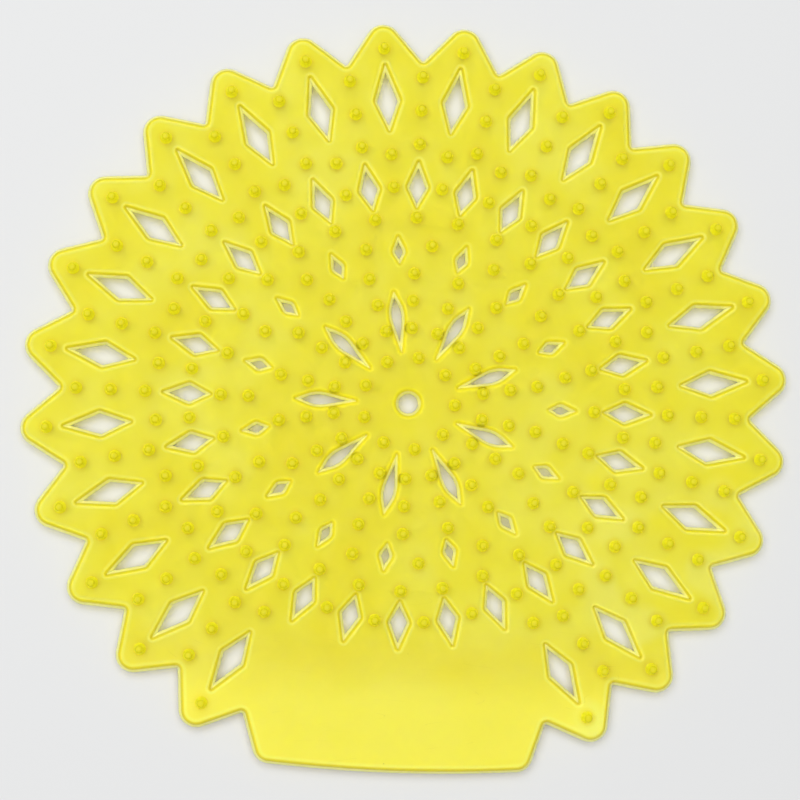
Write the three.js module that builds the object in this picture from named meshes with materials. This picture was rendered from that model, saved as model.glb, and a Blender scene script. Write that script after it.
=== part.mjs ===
// Urinal deodorizer screen: one soft moulding with pegs on both faces, a rim of
// pointed petals, rings of kite-shaped drain holes and a plain grip tab.
// Millimetres, +Z up, lying on the tips of its lower pegs.
import * as THREE from 'three';

// Heights of the plate and of the pegs on it
const plateThickness = 2.0;
const upperPegHeight = 3.0;
const lowerPegHeight = 3.0;

// Edge of the plate: widest just above the lower face, drawn in towards both faces
const rimDraft = 0.7;
const rimHeel = 0.3;
const rimHeelHeight = 0.4;

// Pegs: tapered stubs, wider where they meet the plate
const pegTipRadius = 0.95;
const pegBaseRadius = 1.25;
const upperPegSides = 5;
const lowerPegSides = 4;

// Drain holes in rings, from the centre outwards. Each kite starts a web away from
// what lies inside it; its nose runs to the widest place and its tail to the outer end.
const centreHoleRadius = 3.0;
const centreHoleSides = 14;
const holeDraft = 0.55;
const hubPegRadius = 10.9;
const slotCount = 9;
const slotTurn = 20;
const slotWeb = 0.3;
const slotNose = 10.5;
const slotTail = 5.7;
const slotWidth = 4.2;
const smallKiteCount = 15;
const smallKiteTurn = 0;
const smallKiteWeb = 5.2;
const smallKiteNose = 3.3;
const smallKiteTail = 4.3;
const smallKiteWidth = 3.9;
const middleKiteWeb = 5.5;
const middleKiteNose = 5.5;
const middleKiteTail = 6.9;
const middleKiteWidth = 5.7;
const rimKiteWeb = 5.9;
const rimKiteNose = 7.9;
const rimKiteTail = 9.5;
const rimKiteWidth = 6.6;

// Petals of the rim, and the grip tab that takes the place of some at the front (-Y)
const petalCount = 28;
const notchWeb = 0.1;
const petalDepth = 9.1;
const petalRounding = 4.2;
const tipSteps = 3;
const tabPetals = 4;
const tabLength = 4.6;
const tabBow = 1.4;
const tabSideLean = 3.7;
const tabCornerRounding = 4.0;
const tabCornerSteps = 2;
const tabEdgeSteps = 4;

// Places of the peg rings against the holes and the rim; rows are spread evenly
const slotPegStart = 6.5;
const slotPegClearance = 2.0;
const slotPegRows = 3;
const slotPegSpread = 10;
const smallKitePegOffset = 1.6;
const innerPegClearance = 1.8;
const rimKitePegClearance = 5.0;
const petalPegInset = 6.3;
const notchPegInset = 4.1;
const notchPegClearance = 3.3;
const notchPegRows = 3;

// Soft, half-clear lemon plastic
const lemon = new THREE.MeshStandardMaterial({
  name: 'lemon_eva',
  color: new THREE.Color().setRGB(0.83, 0.79, 0.05),
  roughness: 0.45,
  metalness: 0,
});

// Levels and rings that follow from the sizes above
const fullTurn = 360;
const petalPitch = fullTurn / petalCount;
const lowerFace = lowerPegHeight;
const upperFace = lowerFace + plateThickness;
const frontAngle = -90;
const tabHalfAngle = (petalPitch * tabPetals) / 2;

function hole(start, nose, tail, width) {
  return { inner: start, widest: start + nose, outer: start + nose + tail, width };
}

const slot = hole(hubPegRadius + slotWeb, slotNose, slotTail, slotWidth);
const smallKite = hole(slot.outer + smallKiteWeb, smallKiteNose, smallKiteTail, smallKiteWidth);
const middleKite = hole(
  smallKite.outer + middleKiteWeb, middleKiteNose, middleKiteTail, middleKiteWidth,
);
const rimKite = hole(middleKite.outer + rimKiteWeb, rimKiteNose, rimKiteTail, rimKiteWidth);
const notchRadius = rimKite.outer + notchWeb;
const petalTipRadius = notchRadius + petalDepth;
const petalCentreRadius = petalTipRadius - petalRounding;
const tabReach = notchRadius + tabLength;
const origin = new THREE.Vector2();

function polar(radius, degrees) {
  const angle = THREE.MathUtils.degToRad(degrees);
  return new THREE.Vector2(radius * Math.cos(angle), radius * Math.sin(angle));
}

function angleFromFront(degrees) {
  const turned = THREE.MathUtils.euclideanModulo(degrees - frontAngle, fullTurn);
  return Math.min(turned, fullTurn - turned);
}

// Angles of a full ring of equal steps
function ringAngles(count, turn) {
  return Array.from({ length: count }, (_, i) => turn + (fullTurn * i) / count);
}

// Petal axes lie half a pitch off the notches, and the tab has none
const notchAngles = ringAngles(petalCount, frontAngle);
const petalAngles = ringAngles(petalCount, frontAngle + petalPitch / 2);
const freePetals = petalAngles.filter((angle) => angleFromFront(angle) > tabHalfAngle);
const freeNotches = notchAngles.filter((angle) => angleFromFront(angle) > tabHalfAngle + petalPitch / 4);

// Points of an arc about a centre, from one direction to another, ends included
function arcPoints(centre, radius, fromDegrees, toDegrees, steps) {
  const points = [];
  for (let i = 0; i <= steps; i += 1) {
    const degrees = fromDegrees + ((toDegrees - fromDegrees) * i) / steps;
    points.push(polar(radius, degrees).add(centre));
  }
  return points;
}

// Direction in degrees of the normal where a line from a point touches a circle
function tangentNormal(point, centre, radius, side) {
  const away = point.clone().sub(centre);
  const swing = Math.acos(radius / away.length());
  return THREE.MathUtils.radToDeg(away.angle() + side * swing);
}

// One rounded tip between two points, a fixed inset from the true edge
function roundedCorner(before, centre, after, radius, inset, steps) {
  const from = tangentNormal(before, centre, radius, 1);
  let to = tangentNormal(after, centre, radius, -1);
  while (to < from) to += fullTurn;
  while (to - from > fullTurn) to -= fullTurn;
  return arcPoints(centre, radius - inset, from, to, steps);
}

// Where the flanks of two neighbouring petals meet, moved inwards by the inset
function notchPoint(degrees, inset) {
  const notch = polar(notchRadius, degrees);
  const centre = polar(petalCentreRadius, degrees + petalPitch / 2);
  const normal = tangentNormal(notch, centre, petalRounding, -1);
  const opening = THREE.MathUtils.degToRad(normal - degrees);
  return polar(notchRadius - inset / Math.abs(Math.cos(opening)), degrees);
}

// Centre of the rounding at a tab corner, from the side line and the front arc
function tabCornerCentre(side) {
  const notch = polar(notchRadius, frontAngle + side * tabHalfAngle);
  const corner = new THREE.Vector2(notch.x - side * tabSideLean, tabBow - tabReach);
  const upSide = notch.clone().sub(corner).normalize();
  const alongFront = new THREE.Vector2(0, -tabReach).sub(corner).normalize();
  const between = upSide.clone().add(alongFront).normalize();
  const halfAngle = Math.acos(between.dot(upSide));
  return corner.add(between.multiplyScalar(tabCornerRounding / Math.sin(halfAngle)));
}

// The tab's outline from its left notch to its right one, both ends left out
function tabPoints(inset) {
  const leftNotch = polar(notchRadius, frontAngle - tabHalfAngle);
  const rightNotch = polar(notchRadius, frontAngle + tabHalfAngle);
  const frontMiddle = new THREE.Vector2(0, -tabReach);
  const left = roundedCorner(
    leftNotch, tabCornerCentre(-1), frontMiddle, tabCornerRounding, inset, tabCornerSteps,
  );
  const right = roundedCorner(
    frontMiddle, tabCornerCentre(1), rightNotch, tabCornerRounding, inset, tabCornerSteps,
  );
  const start = left[left.length - 1];
  const end = right[0];
  const bow = start.y + tabReach - inset;
  const front = [];
  for (let i = 1; i < tabEdgeSteps; i += 1) {
    const t = i / tabEdgeSteps;
    front.push(new THREE.Vector2(
      THREE.MathUtils.lerp(start.x, end.x, t),
      start.y - bow * (1 - (2 * t - 1) ** 2),
    ));
  }
  return [...left, ...front, ...right];
}

// The whole outline, counter-clockwise, with its edge drawn in by the inset
function outline(inset) {
  const points = [notchPoint(frontAngle - tabHalfAngle, inset), ...tabPoints(inset)];
  for (let i = 0; i < petalCount - tabPetals; i += 1) {
    const notch = frontAngle + tabHalfAngle + petalPitch * i;
    const centre = polar(petalCentreRadius, notch + petalPitch / 2);
    const before = polar(notchRadius, notch);
    const after = polar(notchRadius, notch + petalPitch);
    points.push(notchPoint(notch, inset));
    points.push(...roundedCorner(before, centre, after, petalRounding, inset, tipSteps));
  }
  return points;
}

// A kite-shaped hole, clockwise, every side drawn in by the inset
function kite({ inner, widest, outer, width }, degrees, inset) {
  const half = width / 2;
  const innerSlope = Math.atan2(half, widest - inner);
  const outerSlope = Math.atan2(half, outer - widest);
  const innerEnd = inner + inset / Math.sin(innerSlope);
  const outerEnd = outer - inset / Math.sin(outerSlope);
  const shift = (Math.tan(innerSlope) * innerEnd + Math.tan(outerSlope) * outerEnd)
    / (Math.tan(innerSlope) + Math.tan(outerSlope));
  const reach = (shift - innerEnd) * Math.tan(innerSlope);
  const turned = (x, y) => new THREE.Vector2(x, y)
    .rotateAround(origin, THREE.MathUtils.degToRad(degrees));
  return [turned(innerEnd, 0), turned(shift, reach), turned(outerEnd, 0), turned(shift, -reach)];
}

function polygon(centre, radius, sides, turn) {
  return ringAngles(sides, turn).map((degrees) => polar(radius, degrees).add(centre));
}

// Every drain hole as a pair of loops: at the upper face and at the lower one
function drainHoles() {
  const families = [
    { shape: slot, angles: ringAngles(slotCount, slotTurn) },
    { shape: smallKite, angles: ringAngles(smallKiteCount, smallKiteTurn) },
    { shape: middleKite, angles: notchAngles },
    { shape: rimKite, angles: freePetals },
  ];
  const holes = families.flatMap(({ shape, angles }) => angles.map((degrees) => ({
    upper: kite(shape, degrees, 0),
    lower: kite(shape, degrees, holeDraft),
  })));
  holes.push({
    upper: polygon(origin, centreHoleRadius, centreHoleSides, 0).reverse(),
    lower: polygon(origin, centreHoleRadius - holeDraft, centreHoleSides, 0).reverse(),
  });
  return holes;
}

// Radii of evenly spread rows of pegs, the first and the last one given
function rowRadii(first, last, rows) {
  return Array.from({ length: rows }, (_, i) => first + ((last - first) * i) / (rows - 1));
}

// The place of every peg
function pegCentres() {
  const rings = [{ radius: hubPegRadius, angles: ringAngles(slotCount, 0) }];
  const slotPegInner = slot.inner + slotPegStart;
  const slotPegOuter = smallKite.inner - slotPegClearance;
  for (const radius of rowRadii(slotPegInner, slotPegOuter, slotPegRows)) {
    for (const side of [-1, 1]) {
      rings.push({ radius, angles: ringAngles(slotCount, slotTurn + side * slotPegSpread) });
    }
  }
  rings.push({
    radius: smallKite.widest + smallKitePegOffset,
    angles: ringAngles(smallKiteCount, smallKiteTurn + fullTurn / smallKiteCount / 2),
  });
  rings.push({ radius: middleKite.inner - innerPegClearance, angles: notchAngles });
  rings.push({ radius: middleKite.widest, angles: petalAngles });
  rings.push({ radius: rimKite.inner - rimKitePegClearance, angles: freePetals });
  rings.push({ radius: petalTipRadius - petalPegInset, angles: freePetals });
  const notchPegInner = middleKite.outer + notchPegClearance;
  const notchPegOuter = notchRadius - notchPegInset;
  for (const radius of rowRadii(notchPegInner, notchPegOuter, notchPegRows)) {
    rings.push({ radius, angles: freeNotches });
  }
  return rings.flatMap(({ radius, angles }) => angles.map((degrees) => polar(radius, degrees)));
}

const positions = [];

function addTriangle(a, b, c) {
  positions.push(a.x, a.y, a.z, b.x, b.y, b.z, c.x, c.y, c.z);
}

function at(point, z) {
  return new THREE.Vector3(point.x, point.y, z);
}

// A flat face with holes in it; facing is 1 for up and -1 for down. The triangulation
// drops points that line up exactly, as mirrored ones do, so it gets turned copies.
function addFace(contour, holes, z, facing) {
  const points = [contour, ...holes].flat().map((point) => at(point, z));
  const turned = (loop) => loop.map((point) => point.clone().rotateAround(origin, 0.37));
  for (const [a, b, c] of THREE.ShapeUtils.triangulateShape(turned(contour), holes.map(turned))) {
    if (facing > 0) addTriangle(points[a], points[b], points[c]);
    else addTriangle(points[a], points[c], points[b]);
  }
}

// A wall between two loops of as many points; a counter-clockwise pair faces out
function addWall(lower, lowerZ, upper, upperZ) {
  lower.forEach((point, i) => {
    const next = (i + 1) % lower.length;
    addTriangle(at(point, lowerZ), at(lower[next], lowerZ), at(upper[next], upperZ));
    addTriangle(at(point, lowerZ), at(upper[next], upperZ), at(upper[i], upperZ));
  });
}

function buildScreen() {
  const edge = outline(0);
  const upperEdge = outline(rimDraft);
  const lowerEdge = outline(rimHeel);
  const edgeZ = lowerFace + rimHeelHeight;
  const holes = drainHoles();
  const pegs = pegCentres();
  const tipZ = upperFace + upperPegHeight;
  const pegLoop = (centre, radius, sides) => polygon(centre, radius, sides, 90);
  const upperBases = pegs.map((centre) => pegLoop(centre, pegBaseRadius, upperPegSides));
  const lowerBases = pegs.map((centre) => pegLoop(centre, pegBaseRadius, lowerPegSides));

  addFace(upperEdge, [...holes.map(({ upper }) => upper), ...upperBases], upperFace, 1);
  addFace(lowerEdge, [...holes.map(({ lower }) => lower), ...lowerBases], lowerFace, -1);
  addWall(lowerEdge, lowerFace, edge, edgeZ);
  addWall(edge, edgeZ, upperEdge, upperFace);
  for (const { lower, upper } of holes) addWall(lower, lowerFace, upper, upperFace);
  pegs.forEach((centre, i) => {
    const upperTip = pegLoop(centre, pegTipRadius, upperPegSides);
    const lowerTip = pegLoop(centre, pegTipRadius, lowerPegSides);
    addWall(upperBases[i], upperFace, upperTip, tipZ);
    addFace(upperTip, [], tipZ, 1);
    addWall(lowerTip, 0, lowerBases[i], lowerFace);
    addFace(lowerTip, [], 0, -1);
  });

  const geometry = new THREE.BufferGeometry();
  geometry.setAttribute('position', new THREE.Float32BufferAttribute(positions, 3));
  geometry.computeVertexNormals();
  return geometry;
}

const geometry = buildScreen();
geometry.computeBoundingBox();
const footprint = geometry.boundingBox.getCenter(new THREE.Vector3());

const screenMesh = new THREE.Mesh(geometry, lemon);
screenMesh.name = 'deodorizer_screen';
screenMesh.position.set(-footprint.x, -footprint.y, 0);

const part = new THREE.Group();
part.name = 'urinal_deodorizer_screen';
part.add(screenMesh);

export default part;
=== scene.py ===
import math
import bpy
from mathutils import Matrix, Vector


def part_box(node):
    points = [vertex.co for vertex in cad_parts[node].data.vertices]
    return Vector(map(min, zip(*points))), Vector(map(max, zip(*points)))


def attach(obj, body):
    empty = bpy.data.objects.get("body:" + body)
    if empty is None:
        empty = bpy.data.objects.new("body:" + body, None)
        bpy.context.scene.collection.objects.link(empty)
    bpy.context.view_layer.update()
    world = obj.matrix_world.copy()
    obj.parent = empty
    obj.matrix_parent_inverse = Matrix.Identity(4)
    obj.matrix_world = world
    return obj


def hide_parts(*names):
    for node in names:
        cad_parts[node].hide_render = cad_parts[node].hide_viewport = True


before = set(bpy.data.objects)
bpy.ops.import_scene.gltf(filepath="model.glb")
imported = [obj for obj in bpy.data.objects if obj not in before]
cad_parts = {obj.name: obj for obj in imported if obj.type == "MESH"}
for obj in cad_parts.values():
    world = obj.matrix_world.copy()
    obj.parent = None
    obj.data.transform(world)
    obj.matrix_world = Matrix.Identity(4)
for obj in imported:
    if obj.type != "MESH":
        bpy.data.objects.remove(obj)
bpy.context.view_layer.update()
screenLow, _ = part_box("deodorizer_screen")
mm = 0.001

# the moulding is drawn in millimetres round the middle of its pattern
frontToCentre = 86.1
screenHeight = 8.0
petalCount = 28
patternCentre = (0.0, screenLow[1] + frontToCentre * mm, 0.0)
petalPitch = math.radians(360 / petalCount)
front = math.radians(-90)
leastRadius = 0.04           # of a corner that its inset would otherwise turn inside out


# small helpers for loops, lofts and nodes

def direction(angle):
    return Vector((math.cos(angle), math.sin(angle)))


def lineThrough(a, b):
    # (normal angle, offset) of the line a to b, with the outside on its right hand
    along = (b - a).normalized()
    normal = Vector((along.y, -along.x))
    return math.atan2(normal.y, normal.x), a.dot(normal)


def cornerArc(lineA, lineB, rounding, inset, steps):
    # rounded corner of two lines moved inwards; a negative rounding is a hollow one
    (angleA, offsetA), (angleB, offsetB) = lineA, lineB
    radius = rounding - inset
    if rounding > 0:
        radius = max(radius, leastRadius)
    turn = (angleB - angleA + math.pi) % (2 * math.pi) - math.pi
    nA, nB = direction(angleA), direction(angleB)
    a, b = offsetA - inset - radius, offsetB - inset - radius
    det = nA.x * nB.y - nA.y * nB.x
    centre = Vector(((a * nB.y - b * nA.y) / det, (b * nA.x - a * nB.x) / det))
    return [centre + direction(angleA + turn * i / steps) * radius for i in range(steps + 1)]


def roundedLoop(lines, corners, inset):
    # corners[i] = (rounding, steps) between line i and the next one
    points = []
    for i, (rounding, steps) in enumerate(corners):
        points += cornerArc(lines[i], lines[(i + 1) % len(lines)], rounding, inset, steps)
    return points


def loftMesh(name, loops, heights):
    # closed solid through loops of equal length, lowest first
    count = len(loops[0])
    verts = [(p.x * mm, p.y * mm, z * mm) for loop, z in zip(loops, heights) for p in loop]
    faces = [list(range(count))[::-1]]
    for level in range(len(loops) - 1):
        base = level * count
        for i in range(count):
            j = (i + 1) % count
            faces.append((base + i, base + j, base + count + j, base + count + i))
    faces.append([(len(loops) - 1) * count + i for i in range(count)])
    mesh = bpy.data.meshes.new(name)
    mesh.from_pydata(verts, [], faces)
    mesh.validate()
    return mesh


def addObject(name, data):
    obj = bpy.data.objects.new(name, data)
    bpy.context.scene.collection.objects.link(obj)
    return obj


def addNode(tree, kind, **settings):
    node = tree.nodes.new(kind)
    for key, value in settings.items():
        setattr(node, key, value)
    return node


def addSocket(tree, name, kind, inOut="INPUT"):
    return tree.interface.new_socket(name, in_out=inOut, socket_type="NodeSocket" + kind)


def mathNode(tree, operation, a, b=None):
    node = addNode(tree, "ShaderNodeMath", operation=operation)
    for socket, value in zip(node.inputs, (a, b)):
        if isinstance(value, bpy.types.NodeSocket):
            tree.links.new(value, socket)
        elif value is not None:
            socket.default_value = value
    return node.outputs[0]


# the plate: a petalled rim with the plain grip tab at the front

plate = {
    "underside": 3.0,
    "upperFace": 5.0,
    # (inset from the widest line, height) up the rim
    "rimSection": [(0.30, 3.0), (0.08, 3.07), (0.0, 3.22), (0.20, 3.6), (0.46, 3.95),
                   (0.68, 4.25), (0.88, 4.53), (1.12, 4.76), (1.4, 4.88), (1.75, 4.95),
                   (2.3, 5.0)],
    "petalsUnderTab": 4,
    "notchRadius": 81.5,
    "petalTipRadius": 90.5,
    "tipRounding": 4.2,
    "tipSteps": 12,
    "notchHollow": 0.45,
    "notchSteps": 4,
    "tabReach": 87.12,       # where the two halves of the front would meet unrounded
    "tabCorner": (31.7, 84.7),
    "tabCornerRounding": 4.0,
    "tabCornerSteps": 8,
    "tabFrontRounding": 352.0,
    "tabFrontSteps": 10,
}


def petalLines(axis):
    # the two flanks of a petal, from its right notch to its left one
    half = petalPitch / 2
    centre = direction(axis) * (plate["petalTipRadius"] - plate["tipRounding"])
    lines = []
    for side in (-1, 1):
        notch = direction(axis + side * half) * plate["notchRadius"]
        away = notch - centre
        swing = math.acos(plate["tipRounding"] / away.length)
        angle = math.atan2(away.y, away.x) - side * swing
        lines.append((angle, notch.dot(direction(angle))))
    return lines


def plateOutline():
    halfTab = petalPitch * plate["petalsUnderTab"] / 2
    x, y = plate["tabCorner"]
    notches = [direction(front + side * halfTab) * plate["notchRadius"] for side in (-1, 1)]
    cornersAt = [Vector((-x, -y)), Vector((x, -y))]
    middle = Vector((0, -plate["tabReach"]))
    hollow = (-plate["notchHollow"], plate["notchSteps"])
    lines = [lineThrough(notches[0], cornersAt[0]), lineThrough(cornersAt[0], middle),
             lineThrough(middle, cornersAt[1]), lineThrough(cornersAt[1], notches[1])]
    tabCorner = (plate["tabCornerRounding"], plate["tabCornerSteps"])
    corners = [tabCorner, (plate["tabFrontRounding"], plate["tabFrontSteps"]), tabCorner, hollow]
    for i in range(petalCount - plate["petalsUnderTab"]):
        lines += petalLines(front + halfTab + petalPitch * (i + 0.5))
        corners += [(plate["tipRounding"], plate["tipSteps"]), hollow]
    return lines, corners


lines, corners = plateOutline()
blankMesh = loftMesh(
    "plateBlank",
    [roundedLoop(lines, corners, inset) for inset, _ in plate["rimSection"]],
    [height for _, height in plate["rimSection"]])
plateBlank = addObject("plateBlank", blankMesh)
print("plate blank:", len(blankMesh.vertices), "points")


# the drain holes: one cutter for each family, set round in rings

drainHoles = {
    # (growth beyond the drawn line, height) up a hole's wall, from its foot to its lip
    "wallSection": [(-0.40, 2.8), (-0.48, 2.98), (-0.74, 3.1), (-0.82, 3.25), (-0.67, 3.55),
                    (-0.40, 3.92), (-0.18, 4.25), (0.0, 4.52), (0.18, 4.73), (0.42, 4.87),
                    (0.80, 4.95), (1.35, 5.02), (1.35, 5.4)],
    "endRounding": 0.35,
    "cornerSteps": 4,
    "families": {
        # count, first angle, ring radius of the widest place, nose, tail, width, side rounding
        "Slot": (9, math.radians(20), 21.7, 11.0, 5.6, 4.6, 8.0),
        "Small Kite": (15, 0.0, 35.9, 3.3, 4.3, 3.9, 1.8),
        "Middle Kite": (petalCount, front, 51.2, 5.5, 6.9, 5.7, 1.5),
        "Rim Kite": (24, front + 2.5 * petalPitch, 71.9, 7.9, 9.5, 6.6, 1.5),
    },
    "centreRadius": 3.1,
    "centreSteps": 32,
}


def kiteCutter(name, nose, tail, width, sideRounding):
    inner, outer = Vector((-nose, 0)), Vector((tail, 0))
    right, left = Vector((0, -width / 2)), Vector((0, width / 2))
    sides = [lineThrough(inner, right), lineThrough(right, outer),
             lineThrough(outer, left), lineThrough(left, inner)]
    steps = drainHoles["cornerSteps"]
    roundings = [(sideRounding, steps), (drainHoles["endRounding"], steps)] * 2
    section = drainHoles["wallSection"]
    loops = [roundedLoop(sides, roundings, -growth) for growth, _ in section]
    return loftMesh(name, loops, [height for _, height in section])


def roundCutter(name, radius):
    section = drainHoles["wallSection"]
    steps = drainHoles["centreSteps"]
    loops = [[direction(2 * math.pi * i / steps) * (radius + growth) for i in range(steps)]
             for growth, _ in section]
    return loftMesh(name, loops, [height for _, height in section])


cutters = {}
for family, (count, first, radius, *shape) in drainHoles["families"].items():
    cutters[family] = addObject("cutter" + family.replace(" ", ""), kiteCutter(family, *shape))
cutters["Centre Hole"] = addObject("cutterCentre",
                                   roundCutter("Centre Hole", drainHoles["centreRadius"]))
print("hole cutters:", ", ".join(cutters))


# the pegs: one turned stub for each face, set round in rings

pegs = {
    # (radius, height above the face) up the stub; the foot starts inside the plate
    "profile": [(1.62, -0.12), (1.36, 0.28), (1.24, 0.75), (0.95, 2.6), (0.74, 2.92),
                (0.45, 3.0)],
    "upperSides": 12,
    "lowerSides": 8,
    "rings": {
        # count, first angle, radius
        "Hub": (9, 0.0, 10.9),
        "Slot Inner": (18, math.radians(10), 17.7),
        "Slot Middle": (18, math.radians(10), 24.15),
        "Slot Outer": (18, math.radians(10), 30.6),
        "Small Kite": (15, math.radians(12), 37.5),
        "Inner Web": (petalCount, front, 43.9),
        "Middle Kite": (petalCount, front + petalPitch / 2, 51.2),
        "Rim Web": (24, front + 2.5 * petalPitch, 59.0),
        "Notch Inner": (23, front + 3 * petalPitch, 61.4),
        "Notch Middle": (23, front + 3 * petalPitch, 69.4),
        "Notch Outer": (23, front + 3 * petalPitch, 77.4),
        "Petal Tip": (24, front + 2.5 * petalPitch, 84.3),
    },
}
# rings that stop at the tab step by the pitch of the petals, the others close the circle
openRings = ("Rim Web", "Notch Inner", "Notch Middle", "Notch Outer", "Petal Tip", "Rim Kite")


def ringStep(name, count):
    return petalPitch if name in openRings else 2 * math.pi / count


def pegStub(name, sides, face, up):
    profile = pegs["profile"]
    heights = [face + up * height for _, height in profile]
    loops = [[direction(2 * math.pi * i / sides) * radius for i in range(sides)]
             for radius, _ in profile]
    if up < 0:
        loops.reverse()
        heights.reverse()
    return loftMesh(name, loops, heights)


upperPeg = addObject("upperPeg",
                     pegStub("upperPeg", pegs["upperSides"], plate["upperFace"], 1))
lowerPeg = addObject("lowerPeg",
                     pegStub("lowerPeg", pegs["lowerSides"], plate["underside"], -1))
print("pegs on each face:", sum(ring[0] for ring in pegs["rings"].values()))


# lemon plastic: soft, half clear, with painted shade round the pegs for the deeper look where it
# is thicker, and other painted shade and painted light

lemonPlastic = {
    "body": (0.980, 0.890, 0.050),
    "pale": (0.990, 0.920, 0.110),
    "rich": (0.970, 0.862, 0.030),
    # painted shade round each peg: the deeper look of the thicker plastic and of the lower pegs
    # seen through the plate
    "paintedPegShade": (0.900, 0.765, 0.014),
    # painted light over the upper pegs, lifting their shaded sides
    "paintedPegLight": (0.960, 0.835, 0.020),
    # painted shade on the upper peg tips, which face the lamp
    "paintedTipShade": (0.620, 0.540, 0.009),
    "tab": (1.0, 0.840, 0.088),
    # painted highlight: the pale band along the lip rounding and the sheen patches at the lower
    # right
    "paintedHighlight": (0.996, 0.945, 0.190),
    # painted shade: an olive line where the upper edges turn down, and a faint ring on each peg
    # tip
    "paintedEdgeShade": (0.560, 0.500, 0.018),
    # painted light on the lower walls of the rim and the holes
    "paintedWallLight": (0.995, 0.960, 0.370),
    "wear": (0.420, 0.370, 0.030),
    "bending": 1.25,
    "scatterByColour": (1.0, 0.92, 0.22),
    # (height in mm, value) from the lower peg tips to the upper ones
    "clearness": [(2.85, 0.0), (2.97, 0.6), (3.03, 0.6), (3.15, 0.0), (4.85, 0.1),
                  (4.97, 0.55), (5.02, 0.55), (5.15, 0.0)],
    "scatter": [(2.7, 0.006), (3.0, 0.003), (3.15, 0.0035), (4.15, 0.0035), (4.5, 0.003),
                (5.0, 0.003), (5.3, 0.008)],
    # painted light on the lower walls
    "wallLightByHeight": [(3.0, 0.0), (3.15, 0.9), (4.15, 0.8), (4.4, 0.0)],
    # painted shade along the upper edges, then a faint ring on each peg tip
    "edgeShade": [(4.0, 0.0), (4.35, 0.78), (4.75, 0.78), (4.95, 0.0), (7.45, 0.0), (7.65, 0.15),
                  (7.88, 0.15), (7.96, 0.0)],
    # painted highlight along the lip rounding
    "lipHighlightByHeight": [(4.82, 0.0), (4.89, 0.75), (4.95, 0.75), (4.995, 0.0)],
    # painted light on the upper pegs
    "pegLightByHeight": [(5.15, 0.0), (5.5, 1.0)],
    # painted shade on the peg tips
    "tipShade": [(7.3, 0.0), (7.85, 1.0)],
    # (from, to, value at the first, value at the second) along y, x or the radius, in mm
    "clearnessDownY": (-56.0, -72.0, 1.0, 0.40),
    "tabPalenessDownY": (-46.0, -74.0, 0.0, 0.9),
    # painted sheen in patches over the lower right
    "paintedSheenDownY": (5.0, -30.0, 0.0, 1.0),
    "paintedSheenAlongX": (30.0, 50.0, 0.0, 1.0),
    "scratchesDownY": (-20.0, -60.0, 0.0, 1.0),
    "hubDepthByRadius": (42.0, 14.0, 0.0, 0.5),
    "lipHighlightByRadius": (20.0, 62.0, 0.0, 1.0),
    "edgeShadeByRadius": (20.0, 62.0, 0.75, 1.0),
    # the painted shade round a peg, by mm from its middle; none where the tab takes the pegs'
    # place
    "pegShadeByGap": (2.8, 0.7, 0.0, 0.9),
    "pitchesBesideTab": (2.1, 2.3),
    "radiusInsideTab": (56.0, 55.0),
    # patches are noise cells for each mm, with the noise levels between which they fade in
    "cloudPatches": 0.05,
    "cloudDetail": 2.0,
    "cloudColours": [(0.34, "rich"), (0.5, "body"), (0.68, "pale")],
    # painted sheen patches
    "paintedSheenPatches": 0.07,
    "paintedSheenLevels": (0.46, 0.60),
    "paintedSheenStrength": 0.8,
    "roughPatches": 0.3,
    "roughLevels": (0.3, 0.7),
    "roughRange": (0.40, 0.50),
    "grainSize": 0.35,
    "grainDepth": 0.012,
    "grainStrength": 0.35,
    "scratchTurn": 35.0,     # degrees
    "scratchStretch": (0.035, 0.30, 0.0),
    "scratchWidth": (0.004, 0.001),
    "scratchPatches": 2.3,
    "scratchLevels": (0.56, 0.60),
    "scratchStrength": 0.16,
    "speckCells": 0.10,
    "speckRadius": (0.022, 0.010),
    "speckBareShare": 0.72,  # of the cells, the share without a speck
    "speckStrength": 0.45,
}


def rampNode(tree, source, stops):
    ramp = addNode(tree, "ShaderNodeValToRGB")
    elements = ramp.color_ramp.elements
    elements[0].position, elements[0].color = stops[0][0], (*stops[0][1], 1)
    elements[1].position, elements[1].color = stops[-1][0], (*stops[-1][1], 1)
    for position, colour in stops[1:-1]:
        elements.new(position).color = (*colour, 1)
    tree.links.new(source, ramp.inputs["Fac"])
    return ramp.outputs["Color"]


def rangeNode(tree, source, fromMin, fromMax, toMin=0.0, toMax=1.0):
    node = addNode(tree, "ShaderNodeMapRange", interpolation_type="SMOOTHSTEP")
    tree.links.new(source, node.inputs["Value"])
    for name, value in (("From Min", fromMin), ("From Max", fromMax),
                        ("To Min", toMin), ("To Max", toMax)):
        node.inputs[name].default_value = value
    return node.outputs["Result"]


def byHeight(tree, height, stops):
    # a value that changes with the height in mm, held level beyond the end stops
    curve = addNode(tree, "ShaderNodeFloatCurve")
    points = curve.mapping.curves[0].points
    levels = [(h / screenHeight, value) for h, value in stops]
    points[0].location, points[1].location = (0.0, levels[0][1]), (1.0, levels[-1][1])
    for level in levels:
        points.new(*level)
    for point in points:
        point.handle_type = "VECTOR"
    curve.mapping.update()
    tree.links.new(mathNode(tree, "DIVIDE", height, screenHeight), curve.inputs["Value"])
    return curve.outputs[0]


def noiseNode(tree, vector, scale, detail=0.0):
    node = addNode(tree, "ShaderNodeTexNoise")
    node.inputs["Scale"].default_value = scale
    node.inputs["Detail"].default_value = detail
    tree.links.new(vector, node.inputs["Vector"])
    return node.outputs["Fac"]


def coverWith(tree, share, under, colour):
    # the RGBA sockets of a Mix node are its inputs 6 and 7 and its output 2
    node = addNode(tree, "ShaderNodeMix", data_type="RGBA")
    tree.links.new(share, node.inputs[0])
    tree.links.new(under, node.inputs[6])
    node.inputs[7].default_value = (*colour, 1)
    return node.outputs[2]


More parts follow.
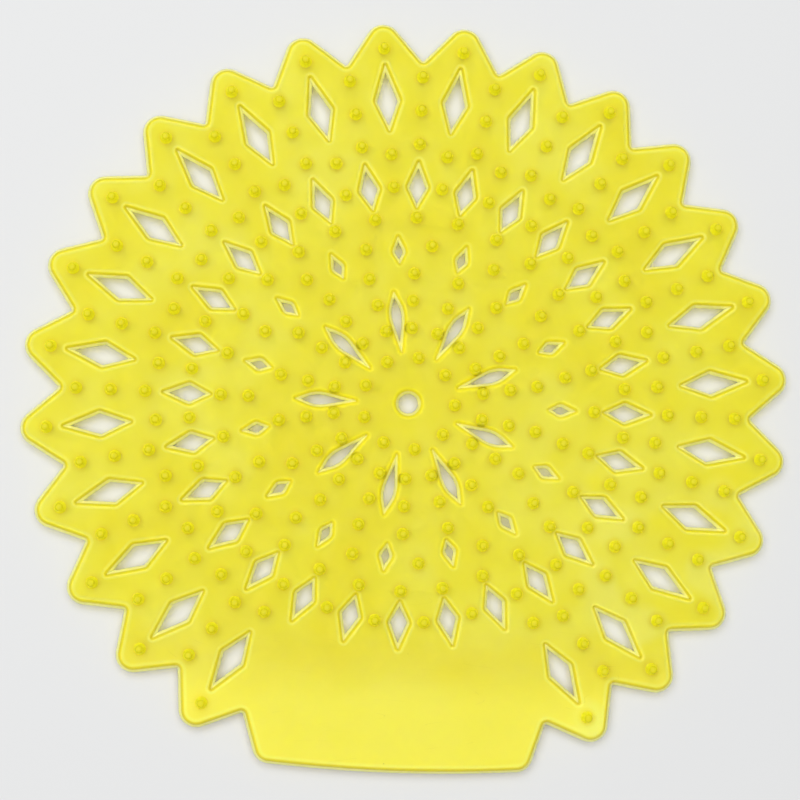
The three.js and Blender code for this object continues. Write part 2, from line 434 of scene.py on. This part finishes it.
def smallest(tree, values):
    least = values[0]
    for value in values[1:]:
        least = mathNode(tree, "MINIMUM", least, value)
    return least


def placeNodes(tree):
    # where a point is in mm from the middle of the pattern
    coords = addNode(tree, "ShaderNodeTexCoord")
    centred = addNode(tree, "ShaderNodeMapping")
    centred.inputs["Location"].default_value = [-value / mm for value in patternCentre]
    centred.inputs["Scale"].default_value = (1 / mm, 1 / mm, 1 / mm)
    tree.links.new(coords.outputs["Object"], centred.inputs["Vector"])
    parts = addNode(tree, "ShaderNodeSeparateXYZ")
    tree.links.new(centred.outputs["Vector"], parts.inputs[0])
    return centred.outputs["Vector"], parts.outputs


def makeGapTree():
    # how far a point is from the nearest peg of rings that share their angles
    tree = bpy.data.node_groups.new("gapToPegs", "ShaderNodeTree")
    for name in ("Angle", "Distance", "First Angle", "Step", "Ring Gap"):
        addSocket(tree, name, "Float")
    addSocket(tree, "Gap", "Float", "OUTPUT")
    given = addNode(tree, "NodeGroupInput").outputs
    result = addNode(tree, "NodeGroupOutput")
    turned = mathNode(tree, "SUBTRACT", given["Angle"], given["First Angle"])
    half = mathNode(tree, "MULTIPLY", given["Step"], 0.5)
    off = mathNode(tree, "PINGPONG", turned, half)
    sideways = mathNode(tree, "MULTIPLY", off, given["Distance"])
    square = mathNode(tree, "ADD", mathNode(tree, "MULTIPLY", sideways, sideways),
                      mathNode(tree, "MULTIPLY", given["Ring Gap"], given["Ring Gap"]))
    tree.links.new(mathNode(tree, "SQRT", square), result.inputs["Gap"])
    return tree


def pegShadeMask(tree, angle, distance):
    # how strongly a point lies in the painted shade round the nearest peg
    gapTree = makeGapTree()
    families = {}
    for name, (count, first, radius) in pegs["rings"].items():
        step = ringStep(name, count)
        families.setdefault((round(step, 5), round(first % step, 5)), []).append(radius)
    gaps = []
    for (step, first), radii in families.items():
        ringGap = smallest(tree, [
            mathNode(tree, "ABSOLUTE", mathNode(tree, "SUBTRACT", distance, radius))
            for radius in radii])
        ring = addNode(tree, "ShaderNodeGroup", node_tree=gapTree)
        for name, source in (("Angle", angle), ("Distance", distance), ("Ring Gap", ringGap)):
            tree.links.new(source, ring.inputs[name])
        ring.inputs["First Angle"].default_value = first
        ring.inputs["Step"].default_value = step
        gaps.append(ring.outputs["Gap"])
    fromFront = mathNode(tree, "ABSOLUTE", mathNode(tree, "SUBTRACT", angle, front))
    tabEdge = [pitches * petalPitch for pitches in lemonPlastic["pitchesBesideTab"]]
    pegged = mathNode(tree, "MAXIMUM", rangeNode(tree, fromFront, *tabEdge),
                      rangeNode(tree, distance, *lemonPlastic["radiusInsideTab"]))
    halo = rangeNode(tree, smallest(tree, gaps), *lemonPlastic["pegShadeByGap"])
    return mathNode(tree, "MULTIPLY", pegged, halo)


def scratchLines(tree, place):
    # hairlines along the level lines of a noise that is drawn out in one direction
    drawn = addNode(tree, "ShaderNodeMapping")
    drawn.inputs["Rotation"].default_value = (0.0, 0.0,
                                              math.radians(lemonPlastic["scratchTurn"]))
    drawn.inputs["Scale"].default_value = lemonPlastic["scratchStretch"]
    tree.links.new(place, drawn.inputs["Vector"])
    wave = noiseNode(tree, drawn.outputs["Vector"], 1.0)
    fromLevel = mathNode(tree, "ABSOLUTE", mathNode(tree, "SUBTRACT", wave, 0.5))
    line = rangeNode(tree, fromLevel, *lemonPlastic["scratchWidth"])
    patches = rangeNode(tree, noiseNode(tree, drawn.outputs["Vector"],
                                        lemonPlastic["scratchPatches"]),
                        *lemonPlastic["scratchLevels"])
    return mathNode(tree, "MULTIPLY", line, patches)


def specks(tree, place):
    # a small dot in the middle of some of the cells
    cells = addNode(tree, "ShaderNodeTexVoronoi")
    cells.inputs["Scale"].default_value = lemonPlastic["speckCells"]
    tree.links.new(place, cells.inputs["Vector"])
    chosen = addNode(tree, "ShaderNodeSeparateColor")
    tree.links.new(cells.outputs["Color"], chosen.inputs[0])
    dot = rangeNode(tree, cells.outputs["Distance"], *lemonPlastic["speckRadius"])
    return mathNode(tree, "MULTIPLY", dot, mathNode(tree, "GREATER_THAN", chosen.outputs["Red"],
                                                    lemonPlastic["speckBareShare"]))


def wearShade(tree, place, y):
    # a few hairline scratches towards the tab, and specks here and there
    scratches = mathNode(tree, "MULTIPLY", scratchLines(tree, place),
                         rangeNode(tree, y, *lemonPlastic["scratchesDownY"]))
    return mathNode(tree, "ADD",
                    mathNode(tree, "MULTIPLY", scratches, lemonPlastic["scratchStrength"]),
                    mathNode(tree, "MULTIPLY", specks(tree, place),
                             lemonPlastic["speckStrength"]))


def lemonColour(tree, place, x, y, z):
    angle = mathNode(tree, "ARCTAN2", y, x)
    distance = mathNode(tree, "SQRT", mathNode(tree, "ADD", mathNode(tree, "MULTIPLY", x, x),
                                               mathNode(tree, "MULTIPLY", y, y)))
    clouds = noiseNode(tree, place, lemonPlastic["cloudPatches"], lemonPlastic["cloudDetail"])
    colour = rampNode(tree, clouds, [(level, lemonPlastic[name])
                                     for level, name in lemonPlastic["cloudColours"]])
    # the tab and the foot of the screen are a shade paler; painted sheen lies in patches over
    # the lower right
    paler = rangeNode(tree, y, *lemonPlastic["tabPalenessDownY"])
    lowerRight = mathNode(tree, "MULTIPLY", rangeNode(tree, x, *lemonPlastic["paintedSheenAlongX"]),
                          rangeNode(tree, y, *lemonPlastic["paintedSheenDownY"]))
    paintedSheenMask = rangeNode(tree, noiseNode(tree, place, lemonPlastic["paintedSheenPatches"]),
                     *lemonPlastic["paintedSheenLevels"], 0.0, lemonPlastic["paintedSheenStrength"])
    # painted highlight along the lips, fading towards the hub
    band = mathNode(tree, "MULTIPLY", byHeight(tree, z, lemonPlastic["lipHighlightByHeight"]),
                    rangeNode(tree, distance, *lemonPlastic["lipHighlightByRadius"]))
    # painted shade along the upper edges, weaker towards the hub
    edge = mathNode(tree, "MULTIPLY", byHeight(tree, z, lemonPlastic["edgeShade"]),
                    rangeNode(tree, distance, *lemonPlastic["edgeShadeByRadius"]))
    # each layer lies over the ones before it; the hub is deeper, painted shade lies round the
    # pegs, painted light on the peg sides and lower walls, painted shade on the peg tips, a
    # painted highlight along the lips, and painted shade as an olive line where the upper edge
    # turns down
    layers = [
        (paler, "tab"),
        # painted sheen at the lower right
        (mathNode(tree, "MULTIPLY", lowerRight, paintedSheenMask), "paintedHighlight"),
        (rangeNode(tree, distance, *lemonPlastic["hubDepthByRadius"]), "rich"),
        # painted shade round each peg
        (pegShadeMask(tree, angle, distance), "paintedPegShade"),
        # painted light on the upper pegs
        (byHeight(tree, z, lemonPlastic["pegLightByHeight"]), "paintedPegLight"),
        # painted shade on the peg tips
        (byHeight(tree, z, lemonPlastic["tipShade"]), "paintedTipShade"),
        # painted light on the lower walls
        (byHeight(tree, z, lemonPlastic["wallLightByHeight"]), "paintedWallLight"),
        # painted highlight along the lips
        (band, "paintedHighlight"),
        # painted shade along the upper edges and round the peg tips
        (edge, "paintedEdgeShade"),
        (wearShade(tree, place, y), "wear"),
    ]
    for share, name in layers:
        colour = coverWith(tree, share, colour, lemonPlastic[name])
    return colour


def makeLemonPlastic():
    material = bpy.data.materials.new("lemonPlastic")
    material.use_nodes = True
    tree = material.node_tree
    shader = tree.nodes["Principled BSDF"]
    shader.inputs["IOR"].default_value = lemonPlastic["bending"]
    shader.inputs["Subsurface Weight"].default_value = 1.0
    shader.inputs["Subsurface Radius"].default_value = lemonPlastic["scatterByColour"]
    place, (x, y, z) = placeNodes(tree)
    tree.links.new(lemonColour(tree, place, x, y, z), shader.inputs["Base Color"])

    # from inside, light only leaves: nothing is scattered at the inner side of the skin
    inside = addNode(tree, "ShaderNodeNewGeometry").outputs["Backfacing"]
    skin = mathNode(tree, "MULTIPLY", byHeight(tree, z, lemonPlastic["clearness"]),
                    rangeNode(tree, y, *lemonPlastic["clearnessDownY"]))
    tree.links.new(mathNode(tree, "MAXIMUM", skin, inside), shader.inputs["Transmission Weight"])
    tree.links.new(byHeight(tree, z, lemonPlastic["scatter"]), shader.inputs["Subsurface Scale"])

    rough = rangeNode(tree, noiseNode(tree, place, lemonPlastic["roughPatches"]),
                      *lemonPlastic["roughLevels"], *lemonPlastic["roughRange"])
    tree.links.new(rough, shader.inputs["Roughness"])
    bump = addNode(tree, "ShaderNodeBump")
    bump.inputs["Strength"].default_value = lemonPlastic["grainStrength"]
    bump.inputs["Distance"].default_value = lemonPlastic["grainDepth"] * mm
    grain = noiseNode(tree, place, 1 / lemonPlastic["grainSize"], 1.0)
    tree.links.new(grain, bump.inputs["Height"])
    tree.links.new(bump.outputs["Normal"], shader.inputs["Normal"])
    return material


lemon = makeLemonPlastic()
print("material ready:", lemon.name)


# one node tree drills the plate and sets the pegs on it

def makeRingTree():
    # sets copies of a shape round a circle, each turned to face outwards
    tree = bpy.data.node_groups.new("shapesInARing", "GeometryNodeTree")
    addSocket(tree, "Shape", "Geometry")
    addSocket(tree, "Count", "Int")
    addSocket(tree, "First Angle", "Float")
    addSocket(tree, "Step", "Float")
    addSocket(tree, "Radius", "Float")
    addSocket(tree, "Ring", "Geometry", "OUTPUT")
    given = addNode(tree, "NodeGroupInput").outputs
    result = addNode(tree, "NodeGroupOutput")
    index = addNode(tree, "GeometryNodeInputIndex").outputs[0]
    turned = mathNode(tree, "MULTIPLY", index, given["Step"])
    angle = mathNode(tree, "ADD", turned, given["First Angle"])
    place = addNode(tree, "ShaderNodeCombineXYZ")
    across = mathNode(tree, "MULTIPLY", mathNode(tree, "COSINE", angle), given["Radius"])
    along = mathNode(tree, "MULTIPLY", mathNode(tree, "SINE", angle), given["Radius"])
    tree.links.new(across, place.inputs["X"])
    tree.links.new(along, place.inputs["Y"])
    points = addNode(tree, "GeometryNodePoints")
    tree.links.new(given["Count"], points.inputs["Count"])
    tree.links.new(place.outputs[0], points.inputs["Position"])
    spin = addNode(tree, "ShaderNodeCombineXYZ")
    tree.links.new(angle, spin.inputs["Z"])
    copies = addNode(tree, "GeometryNodeInstanceOnPoints")
    tree.links.new(points.outputs[0], copies.inputs["Points"])
    tree.links.new(given["Shape"], copies.inputs["Instance"])
    tree.links.new(spin.outputs[0], copies.inputs["Rotation"])
    tree.links.new(copies.outputs[0], result.inputs["Ring"])
    return tree


def makeScreenTree(ringTree):
    tree = bpy.data.node_groups.new("deodorizerScreen", "GeometryNodeTree")
    addSocket(tree, "Plate", "Geometry")
    values = {}

    def addInput(name, kind, value):
        values[addSocket(tree, name, kind).identifier] = value

    for name, cutter in cutters.items():
        addInput(name + " Cutter", "Object", cutter)
    for name, (count, first, radius, *_) in drainHoles["families"].items():
        addInput(name + " Count", "Int", count)
        addInput(name + " First Angle", "Float", first)
        addInput(name + " Step", "Float", ringStep(name, count))
        addInput(name + " Radius", "Float", radius * mm)
    addInput("Upper Peg", "Object", upperPeg)
    addInput("Lower Peg", "Object", lowerPeg)
    for name, (count, first, radius) in pegs["rings"].items():
        addInput(name + " Pegs", "Int", count)
        addInput(name + " Pegs First Angle", "Float", first)
        addInput(name + " Pegs Step", "Float", ringStep(name, count))
        addInput(name + " Pegs Radius", "Float", radius * mm)
    addInput("Pattern Centre", "Vector", patternCentre)
    addInput("Finish", "Material", lemon)
    addSocket(tree, "Screen", "Geometry", "OUTPUT")
    given = addNode(tree, "NodeGroupInput").outputs
    result = addNode(tree, "NodeGroupOutput")

    def shapeOf(socketName):
        info = addNode(tree, "GeometryNodeObjectInfo")
        tree.links.new(given[socketName], info.inputs["Object"])
        return info.outputs["Geometry"]

    def ringOf(shape, countName, label):
        ring = addNode(tree, "GeometryNodeGroup", node_tree=ringTree)
        tree.links.new(shape, ring.inputs["Shape"])
        tree.links.new(given[countName], ring.inputs["Count"])
        for name in ("First Angle", "Step", "Radius"):
            tree.links.new(given[label + " " + name], ring.inputs[name])
        return ring.outputs["Ring"]

    allCutters = addNode(tree, "GeometryNodeJoinGeometry")
    for name in drainHoles["families"]:
        ring = ringOf(shapeOf(name + " Cutter"), name + " Count", name)
        tree.links.new(ring, allCutters.inputs[0])
    tree.links.new(shapeOf("Centre Hole Cutter"), allCutters.inputs[0])

    allPegs = addNode(tree, "GeometryNodeJoinGeometry")
    bothPegs = addNode(tree, "GeometryNodeJoinGeometry")
    tree.links.new(shapeOf("Upper Peg"), bothPegs.inputs[0])
    tree.links.new(shapeOf("Lower Peg"), bothPegs.inputs[0])
    for name in pegs["rings"]:
        ring = ringOf(bothPegs.outputs[0], name + " Pegs", name + " Pegs")
        tree.links.new(ring, allPegs.inputs[0])

    solidCutters = addNode(tree, "GeometryNodeRealizeInstances")
    solidPegs = addNode(tree, "GeometryNodeRealizeInstances")
    tree.links.new(allCutters.outputs[0], solidCutters.inputs[0])
    tree.links.new(allPegs.outputs[0], solidPegs.inputs[0])
    drilled = addNode(tree, "GeometryNodeMeshBoolean", operation="DIFFERENCE", solver="MANIFOLD")
    tree.links.new(given["Plate"], drilled.inputs["Mesh 1"])
    tree.links.new(solidCutters.outputs[0], drilled.inputs["Mesh 2"])
    pegged = addNode(tree, "GeometryNodeMeshBoolean", operation="UNION", solver="MANIFOLD")
    tree.links.new(drilled.outputs[0], pegged.inputs["Mesh 2"])
    tree.links.new(solidPegs.outputs[0], pegged.inputs["Mesh 2"])
    placed = addNode(tree, "GeometryNodeTransform")
    tree.links.new(pegged.outputs[0], placed.inputs["Geometry"])
    tree.links.new(given["Pattern Centre"], placed.inputs["Translation"])
    smooth = addNode(tree, "GeometryNodeSetShadeSmooth")
    tree.links.new(placed.outputs[0], smooth.inputs[0])
    realized = addNode(tree, "GeometryNodeRealizeInstances")
    tree.links.new(smooth.outputs[0], realized.inputs[0])
    finish = addNode(tree, "GeometryNodeSetMaterial")
    tree.links.new(realized.outputs[0], finish.inputs["Geometry"])
    tree.links.new(given["Finish"], finish.inputs["Material"])
    tree.links.new(finish.outputs[0], result.inputs["Screen"])
    return tree, values


def plainMesh(obj, name):
    # the evaluated shape as a mesh of its own, on a new object at the origin
    depsgraph = bpy.context.evaluated_depsgraph_get()
    mesh = bpy.data.meshes.new_from_object(obj.evaluated_get(depsgraph), depsgraph=depsgraph)
    mesh.name = name
    return addObject(name, mesh)


largeFaceWeight = 60         # of 100: how far large faces rule the shading at an edge
screenTree, screenValues = makeScreenTree(makeRingTree())
modifier = plateBlank.modifiers.new("drillAndPeg", "NODES")
modifier.node_group = screenTree
for identifier, value in screenValues.items():
    modifier[identifier] = value
evenShading = plateBlank.modifiers.new("evenShading", "WEIGHTED_NORMAL")
evenShading.weight = largeFaceWeight
screen = plainMesh(plateBlank, "pegged_screen")
plateBlank.modifiers.clear()
for helper in [plateBlank, upperPeg, lowerPeg, *cutters.values()]:
    mesh = helper.data
    bpy.data.objects.remove(helper)
    bpy.data.meshes.remove(mesh)
print("screen:", len(screen.data.vertices), "points,", len(screen.data.polygons), "faces")

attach(screen, "root")
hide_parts("deodorizer_screen")


# floor, lamp and camera

studio = {
    "floorReach": 3.0,
    "floorGrey": (0.655, 0.660, 0.663),
    "floorRoughness": 0.9,
    "floorGloss": 0.1,
    "worldColour": (1.0, 1.0, 1.0),
    "worldLevel": 0.25,
    "keyPlace": (-0.17, 0.16, 1.28),
    "keySize": 1.5,
    "keyPower": 22.3,
}


def makeFloor():
    reach = studio["floorReach"]
    mesh = bpy.data.meshes.new("floor")
    mesh.from_pydata([(-reach, -reach, 0), (reach, -reach, 0), (reach, reach, 0),
                      (-reach, reach, 0)], [], [(0, 1, 2, 3)])
    material = bpy.data.materials.new("paleFloor")
    material.use_nodes = True
    shader = material.node_tree.nodes["Principled BSDF"]
    shader.inputs["Base Color"].default_value = (*studio["floorGrey"], 1)
    shader.inputs["Roughness"].default_value = studio["floorRoughness"]
    shader.inputs["Specular IOR Level"].default_value = studio["floorGloss"]
    mesh.materials.append(material)
    return addObject("floor", mesh)


def makeKeyLamp():
    light = bpy.data.lights.new("keyLamp", "AREA")
    light.shape = "DISK"
    light.size = studio["keySize"]
    light.energy = studio["keyPower"]
    lamp = addObject("keyLamp", light)
    lamp.location = studio["keyPlace"]
    lamp.rotation_euler = (-Vector(studio["keyPlace"])).to_track_quat("-Z", "Y").to_euler()


makeFloor()
makeKeyLamp()
world = bpy.data.worlds.new("softRoom")
bpy.context.scene.world = world
world.use_nodes = True
background = world.node_tree.nodes["Background"]
background.inputs["Color"].default_value = (*studio["worldColour"], 1)
background.inputs["Strength"].default_value = studio["worldLevel"]

lookDown = {
    "place": (-27.1, -29.0, 448.2),     # mm
    "tilt": (3.43, -3.39, 2.51),        # degrees
    "lens": 85.4,
    "sensorWidth": 36.0,
    "nearClip": 0.01,
}
cameraData = bpy.data.cameras.new("lookDown")
cameraData.lens = lookDown["lens"]
cameraData.sensor_width = lookDown["sensorWidth"]
cameraData.clip_start = lookDown["nearClip"]
camera = addObject("lookDown", cameraData)
camera.location = [value * mm for value in lookDown["place"]]
camera.rotation_euler = [math.radians(value) for value in lookDown["tilt"]]
bpy.context.scene.camera = camera
bpy.context.scene.view_settings.view_transform = "Standard"
print("stage, lamp and camera ready")
